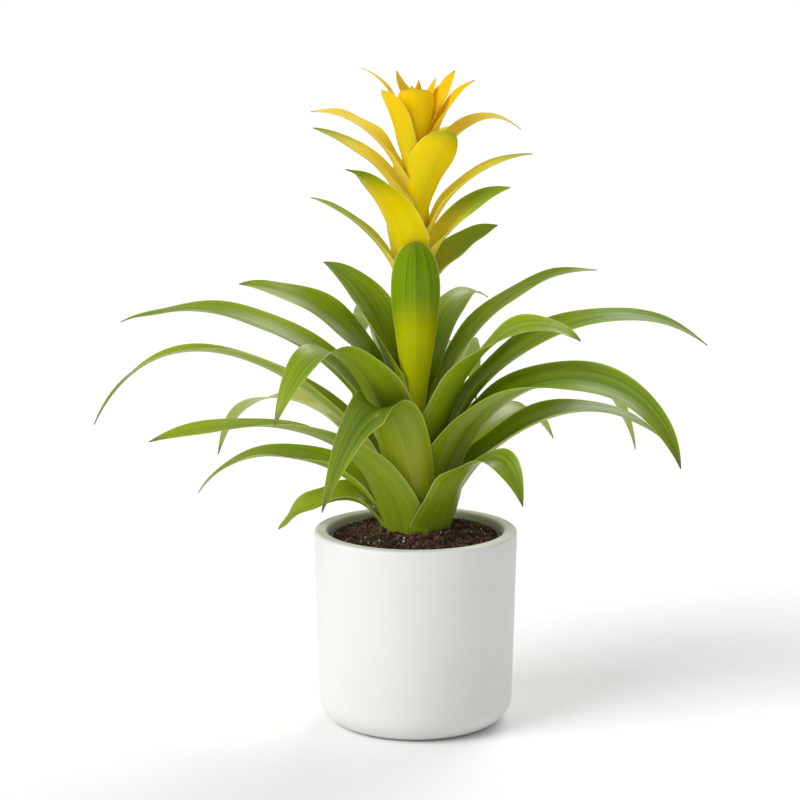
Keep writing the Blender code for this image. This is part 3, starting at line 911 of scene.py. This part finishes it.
@dataclass
class Holder:
    """The cylinder pot and the liner inside it.

    The counts are how many points of the profile make each corner and wall. The bevels take the
    edges off the liner's rim, and hub is the radius of the flat middle of the pot's floor.
    """

    radius: float = 75 * MM
    height: float = 145 * MM
    foot: float = 72 * MM
    wall: float = 10 * MM
    floor: float = 8 * MM
    rim_round: float = 2.6 * MM
    corner: float = 20 * MM
    inner_corner: float = 12 * MM
    hub: float = 20 * MM
    steps: int = 192
    rim_count: int = 9
    corner_count: int = 16
    inner_corner_count: int = 10
    wall_count: int = 20
    inner_wall_count: int = 12
    gap: float = 0.3 * MM
    liner_radius: float = 63 * MM
    liner_top: float = 140 * MM
    liner_wall: float = 1.2 * MM
    liner_foot: float = 48 * MM
    lip_height: float = 6 * MM
    lip: float = 1.2 * MM
    bevel: float = 0.5 * MM
    inner_bevel: float = 0.6 * MM
    sharp_edge: float = 40.0

    def make(self) -> None:
        """Build the pot and the liner."""
        self._pot()
        self._liner()
        LOG.info("pot and liner")

    def _pot(self) -> None:
        """Turn the pot from a profile that follows the CAD pot."""
        inner, inner_foot = self.radius - self.wall, self.foot - self.wall
        rim, turn = self.height - self.rim_round, self.floor + self.inner_corner
        profile = np.concatenate([
            [[0.0, self.floor], [self.hub, self.floor]],
            arc((inner_foot - self.inner_corner, turn), self.inner_corner, -90, 0, self.inner_corner_count),
            between((inner_foot, turn), (inner, rim), self.inner_wall_count),
            arc((inner + self.rim_round, rim), self.rim_round, 180, 90, self.rim_count),
            arc((self.radius - self.rim_round, rim), self.rim_round, 90, 0, self.rim_count),
            between((self.radius, rim), (self.foot, self.corner), self.wall_count),
            arc((self.foot - self.corner, self.corner), self.corner, 0, -90, self.corner_count),
            [[self.hub, 0.0], [0.0, 0.0]],
        ])
        pot = add_piece("pot_shell", revolve("pot_shell", profile, self.steps), PotFinish().make())
        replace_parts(pot, "pot")

    def _liner(self) -> None:
        """Turn the liner: a thin tapered shell with an outward lip."""
        low = self.floor + self.gap
        top, lip = self.liner_top, self.liner_top - self.lip_height
        outer = self.liner_radius - self.lip
        mouth = outer - self.liner_wall
        profile = np.array([
            [0.0, low + self.liner_wall],
            [self.liner_foot - self.liner_wall, low + self.liner_wall],
            [mouth, top - self.inner_bevel],
            [mouth + self.bevel, top],
            [self.liner_radius - self.bevel, top],
            [self.liner_radius, top - self.bevel],
            [self.liner_radius, lip],
            [outer, lip],
            [self.liner_foot, low],
            [0.0, low],
        ])
        mesh = revolve("liner", profile, self.steps)
        mesh.set_sharp_from_angle(angle=math.radians(self.sharp_edge))
        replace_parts(add_piece("liner_shell", mesh, LINER_FINISH.make()), "nursery_pot")


@dataclass(frozen=True)
class Grain:
    """One kind of loose lump on the mix.

    size is the least and greatest diameter in millimetres, squash the least and greatest height
    as a share of the width, and seed picks the lumps' places.
    """

    name: str
    count: int
    size: Pair
    squash: Pair
    finish: GrainFinish
    seed: int


GRAINS: tuple[Grain, ...] = (
    Grain("mix_crumbs", 1500, (0.7, 2.2), (0.6, 1.0), CRUMB_FINISH, 1),
    Grain("bark_bits", 150, (1.6, 4.2), (0.25, 0.6), BARK_FINISH, 2),
    Grain("perlite_grains", 110, (1.1, 2.6), (0.7, 1.0), PERLITE_FINISH, 3),
)


@dataclass
class Mix:
    """Potting mix: a mounded surface with crumbs, bark bits, white grains and fibres lying on it.

    A fibre's half length, radius and hump are ranges in millimetres.
    """

    crown_height: float = 146.4 * MM
    edge_height: float = 138.2 * MM
    crown_radius: float = 27 * MM
    edge_radius: float = 60.3 * MM
    foot_radius: float = 46.5 * MM
    socket: float = 22 * MM
    socket_depth: float = 2 * MM
    floor: float = 12 * MM
    rings: int = 60
    steps: int = 240
    waves: int = 40
    wave_lengths: Pair = (3, 14)
    steepness: float = 0.035
    edge_fade: float = 3 * MM
    margin: float = 1.5 * MM
    seed: int = 21
    lump_rings: int = 4
    lump_steps: int = 8
    lump_dents: Pair = (0.75, 1.2)
    lump_widths: Pair = (0.5, 1.0)
    lump_tilt: float = 0.5
    fibres: int = 1500
    fibre_seed: int = 4
    fibre_nodes: int = 6
    fibre_sides: int = 4
    fibre_margin: float = 4 * MM
    fibre_half: Pair = (1.5, 5.0)
    fibre_radius: Pair = (0.14, 0.38)
    fibre_bend: float = 0.9
    fibre_hump: Pair = (0.2, 1.6)
    fibre_tilt: float = 0.25
    fibre_lift: float = 0.3 * MM
    fibre_end: float = 0.3

    def height(self, radius: np.ndarray) -> np.ndarray:
        """Mound: level at the crown, then falling by half a cosine to the edge."""
        share = np.clip((radius - self.crown_radius) / (self.edge_radius - self.crown_radius), 0.0, 1.0)
        return self.crown_height - (1 - np.cos(math.pi * share)) / 2 * (self.crown_height - self.edge_height)

    def lumps(self, angle: np.ndarray, radius: np.ndarray) -> np.ndarray:
        """Lumps: a sum of plane waves of random heading and length, a longer one being higher.

        Args:
            angle: direction of each place, in radians.
            radius: distance of each place from the axis.

        Returns:
            How far each place stands above or below the mound.
        """
        chance = np.random.default_rng(self.seed)
        x, y = radius * np.cos(angle), radius * np.sin(angle)
        total = np.zeros_like(x)
        for _ in range(self.waves):
            turn, phase = chance.uniform(0, math.tau, 2)
            length = chance.uniform(*self.wave_lengths) * MM
            total += length * np.sin(math.tau * (x * math.cos(turn) + y * math.sin(turn)) / length + phase)
        return self.steepness * total

    def surface(self, angle: np.ndarray, radius: np.ndarray) -> np.ndarray:
        """Height of the bed: the mound plus its lumps, which fade out at the edge."""
        fade = ease(0.0, self.edge_fade, self.edge_radius - radius)
        return self.height(radius) + fade * self.lumps(angle, radius)

    def make(self) -> None:
        """Build the mix and what lies on it."""
        self._bed()
        for grain in GRAINS:
            self.scatter(grain)
        self.strew("mix_fibres", FIBRE_FINISH.make())
        LOG.info("potting mix")

    def _bed(self) -> None:
        """Build the bed: rings over its surface, then one ring at the liner's floor."""
        angle = np.linspace(0.0, math.tau, self.steps, endpoint=False)
        radius = np.linspace(self.socket, self.edge_radius, self.rings)
        radius, angle = np.meshgrid(radius, angle, indexing="ij")
        top = np.stack([radius * np.cos(angle), radius * np.sin(angle), self.surface(angle, radius)], axis=-1)
        bottom = top[-1].copy()
        bottom[:, :2] *= self.foot_radius / self.edge_radius
        bottom[:, 2] = self.floor
        rows = np.concatenate([top, bottom[None]])
        poles = [[0, 0, self.crown_height - self.socket_depth], [0, 0, self.floor]]
        points = np.concatenate([rows.reshape(-1, 3), poles])
        mesh = make_mesh("mix_bed", points, tube_faces(len(rows), self.steps))
        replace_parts(add_piece("mix_bed", mesh, SOIL_FINISH.make()), "soil")

    def places(self, chance: np.random.Generator, margin: float, count: int) -> np.ndarray:
        """Radii spread evenly over the area between the socket and the edge."""
        inner, outer = self.socket + self.socket_depth, self.edge_radius - margin
        return np.sqrt(chance.uniform(inner**2, outer**2, count))

    def strew(self, name: str, finish: bpy.types.Material) -> None:
        """Strew short curved fibres over the bed.

        Each fibre is a four-sided tube along an arc: its heading turns evenly along its length,
        it humps by a cosine between its ends, and its radius falls to fibre_end there as 1 - s^4.

        Args:
            name: the piece's name.
            finish: its material.
        """
        chance = np.random.default_rng(self.seed + self.fibre_seed)
        count, nodes, sides = self.fibres, self.fibre_nodes, self.fibre_sides
        share = np.linspace(-1.0, 1.0, nodes)
        reach = self.places(chance, self.fibre_margin, count)
        angle, start = chance.uniform(0, math.tau, (2, count))
        half = chance.uniform(*self.fibre_half, count) * MM
        thick = chance.uniform(*self.fibre_radius, count) * MM
        bend = chance.normal(0, self.fibre_bend, count)
        heading = start[:, None] + bend[:, None] * share
        step = np.stack([np.cos(heading), np.sin(heading)], -1) * half[:, None, None] * (2 / nodes)
        centre = np.stack([reach * np.cos(angle), reach * np.sin(angle)], -1)[:, None] + np.cumsum(step, 1)
        radius = np.hypot(centre[..., 0], centre[..., 1])
        shrink = np.minimum(1.0, (self.edge_radius - self.margin) / radius)
        centre *= shrink[..., None]
        radius *= shrink
        around = np.arctan2(centre[..., 1], centre[..., 0])
        hump = chance.uniform(*self.fibre_hump, count)[:, None] * MM * np.cos(share * math.pi / 2)
        tilt = chance.normal(0, self.fibre_tilt, count)[:, None] * half[:, None] * share
        lift = self.surface(around, radius) + hump + tilt + self.fibre_lift
        path = np.concatenate([centre, lift[..., None]], axis=-1)
        tangent = unit(np.gradient(path, axis=1))
        across = unit(np.cross(tangent, [0.0, 0.0, 1.0]))
        upward = np.cross(across, tangent)
        turn = np.linspace(0, math.tau, sides, endpoint=False)
        girth = thick[:, None] * (self.fibre_end + (1 - self.fibre_end) * (1 - share**4))
        ring = np.cos(turn)[:, None] * across[:, :, None] + np.sin(turn)[:, None] * upward[:, :, None]
        points = path[:, :, None] + girth[..., None, None] * ring
        each = np.concatenate([points.reshape(count, -1, 3), path[:, [0, -1]]], axis=1)
        faces = copies(tube_faces(nodes, sides), count, each.shape[1])
        add_piece(name, make_mesh(name, each.reshape(-1, 3), faces), finish)

    def scatter(self, grain: Grain) -> None:
        """Scatter closed lumps over the bed.

        Each lump is a sphere of a few rings whose radius varies by a random share; it is squashed,
        tilted, turned and half sunk in the bed.

        Args:
            grain: the kind of lump.
        """
        chance = np.random.default_rng(self.seed + grain.seed)
        count, rings, steps = grain.count, self.lump_rings, self.lump_steps
        radius = self.places(chance, self.margin, count)
        angle = chance.uniform(0, math.tau, count)
        polar = np.linspace(0, math.pi, rings + 2)[1:-1]
        turn = np.linspace(0, math.tau, steps, endpoint=False)
        level = np.repeat(np.cos(polar)[:, None], steps, axis=1)
        east, north = np.outer(np.sin(polar), np.cos(turn)), np.outer(np.sin(polar), np.sin(turn))
        ball = np.stack([east, north, level], axis=-1).reshape(-1, 3)
        ball = np.concatenate([ball, [[0, 0, 1], [0, 0, -1]]])
        lumps = ball[None] * chance.uniform(*self.lump_dents, (count, len(ball), 1))
        half = chance.uniform(*grain.size, count)[:, None, None] * MM / 2
        width = chance.uniform(*self.lump_widths, count)
        shape = [np.ones(count), width, chance.uniform(*grain.squash, count)]
        lumps = lumps * half * np.stack(shape, axis=-1)[:, None]
        spin, tilt = chance.uniform(0, math.tau, count), chance.normal(0, self.lump_tilt, count)
        c, s, ct, st = np.cos(spin), np.sin(spin), np.cos(tilt), np.sin(tilt)
        turned = np.array([[c * ct, -s, c * st], [s * ct, c, s * st], [-st, np.zeros(count), ct]])
        lumps = np.einsum("ijn,nkj->nki", turned, lumps)
        height = self.surface(angle, radius)
        lumps += np.stack([radius * np.cos(angle), radius * np.sin(angle), height], axis=-1)[:, None]
        faces = copies(tube_faces(rings, steps), count, len(ball))
        add_piece(grain.name, make_mesh(grain.name, lumps.reshape(-1, 3), faces), grain.finish.make())


@dataclass
class Stem:
    """Crown and flower stem, turned: the outline's (radius, height) points are in millimetres."""

    steps: int = 64
    outline: tuple[Pair, ...] = (
        (17.0, 118), (20.5, 122), (21.5, 146), (17.6, 160), (14.8, 176), (11.2, 200),
        (7.4, 226), (6.4, 250), (6.4, 375), (5.2, 396), (3.2, 412), (2.2, 426), (1.4, 434),
    )

    def make(self) -> None:
        """Build the stem."""
        outer = np.array(self.outline)[::-1] * MM
        profile = np.concatenate([[[0.0, outer[0, 1]]], outer, [[0.0, outer[-1, 1]]]])
        mesh = revolve("stem_core", profile, self.steps)
        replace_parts(add_piece("stem_core", mesh, STEM_FINISH.make()), "stem")
        LOG.info("stem")


# ---- room


@dataclass
class Studio:
    """Pale floor, soft light and the camera.

    Each lamp has a vector from the plant towards the light and a power on a facing surface, in
    watts a square metre. ambient is how bright the white room is as a source of light.
    """

    eye: Triple = (-0.0115, -1.755, 0.557)
    pitch: float = 10.2
    lens: float = 109.62
    sensor: float = 36.0
    floor_size: float = 60.0
    ambient: float = 0.47
    softness: float = 38.0
    lamps: tuple[tuple[str, Triple, float], ...] = (
        ("key", (-0.72, -0.46, 0.62), 2.15),
        ("back", (0.35, 0.75, 0.70), 1.3),
    )

    def make(self) -> None:
        """Set the floor, world, lights and camera."""
        self._floor()
        self._world()
        for name, place, strength in self.lamps:
            self._light(name, place, strength)
        data = bpy.data.cameras.new("camera")
        data.lens = self.lens
        data.sensor_width = self.sensor
        camera = bpy.data.objects.new("camera", data)
        camera.location = self.eye
        camera.rotation_euler = (math.radians(90 - self.pitch), 0.0, 0.0)
        bpy.context.scene.collection.objects.link(camera)
        bpy.context.scene.camera = camera

    def _floor(self) -> None:
        """Lay a plain pale floor."""
        half = self.floor_size / 2
        points = np.array([[-half, -half, 0], [half, -half, 0], [half, half, 0], [-half, half, 0]])
        mesh = make_mesh("floor", points, np.array([[0, 1, 2, 3]]))
        made, shader = new_material("floor_paint")
        inputs = {"Base Color": (0.93, 0.93, 0.93, 1.0), "Roughness": 0.9}
        shader.finish(shader.principled(inputs))
        mesh.materials.append(made)
        thing = bpy.data.objects.new("floor", mesh)
        bpy.context.scene.collection.objects.link(thing)
        thing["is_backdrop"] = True

    def _world(self) -> None:
        """Fill the room with even white light, behind which the camera sees plain white."""
        world = bpy.data.worlds.new("room")
        world.use_nodes = True
        world.node_tree.nodes.clear()
        shader = Shader(world.node_tree)
        seen = shader.node("ShaderNodeLightPath", {}, {})[0]
        strength = self.ambient + (1.0 - self.ambient) * seen
        white = {"Color": (1.0, 1.0, 1.0, 1.0), "Strength": strength}
        sky = shader.node("ShaderNodeBackground", {}, white)[0]
        shader.node("ShaderNodeOutputWorld", {}, {"Surface": sky})
        bpy.context.scene.world = world
        bpy.context.scene.view_settings.view_transform = "Standard"

    def _light(self, name: str, place: Triple, strength: float) -> None:
        """Shine soft, even light from a direction.

        Args:
            name: the lamp's name.
            place: a vector from the plant towards the light.
            strength: its power on a facing surface, watts a square metre.
        """
        data = bpy.data.lights.new(name, "SUN")
        data.angle = math.radians(self.softness)
        data.energy = strength
        lamp = bpy.data.objects.new(name, data)
        lean = math.acos(place[2] / math.hypot(*place))
        lamp.rotation_euler = (lean, 0.0, math.atan2(place[0], -place[1]))
        bpy.context.scene.collection.objects.link(lamp)


def box() -> list[list[float]]:
    """The shown object's box as plain lists."""
    return [[float(v) for v in corner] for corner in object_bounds()]


def main() -> list[list[float]]:
    """Clear the scene, load the frame and build everything round it.

    Returns:
        The CAD model's box.
    """
    logging.basicConfig(level=logging.INFO, format="%(name)s: %(message)s")
    for item in list(bpy.data.objects):
        bpy.data.objects.remove(item, do_unlink=True)
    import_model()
    cad_box = box()
    Studio().make()
    Holder().make()
    Mix().make()
    Stem().make()
    Foliage().make()
    return cad_box


if __name__ == "__main__":
    sizes = {"cad": main(), "visual": box()}
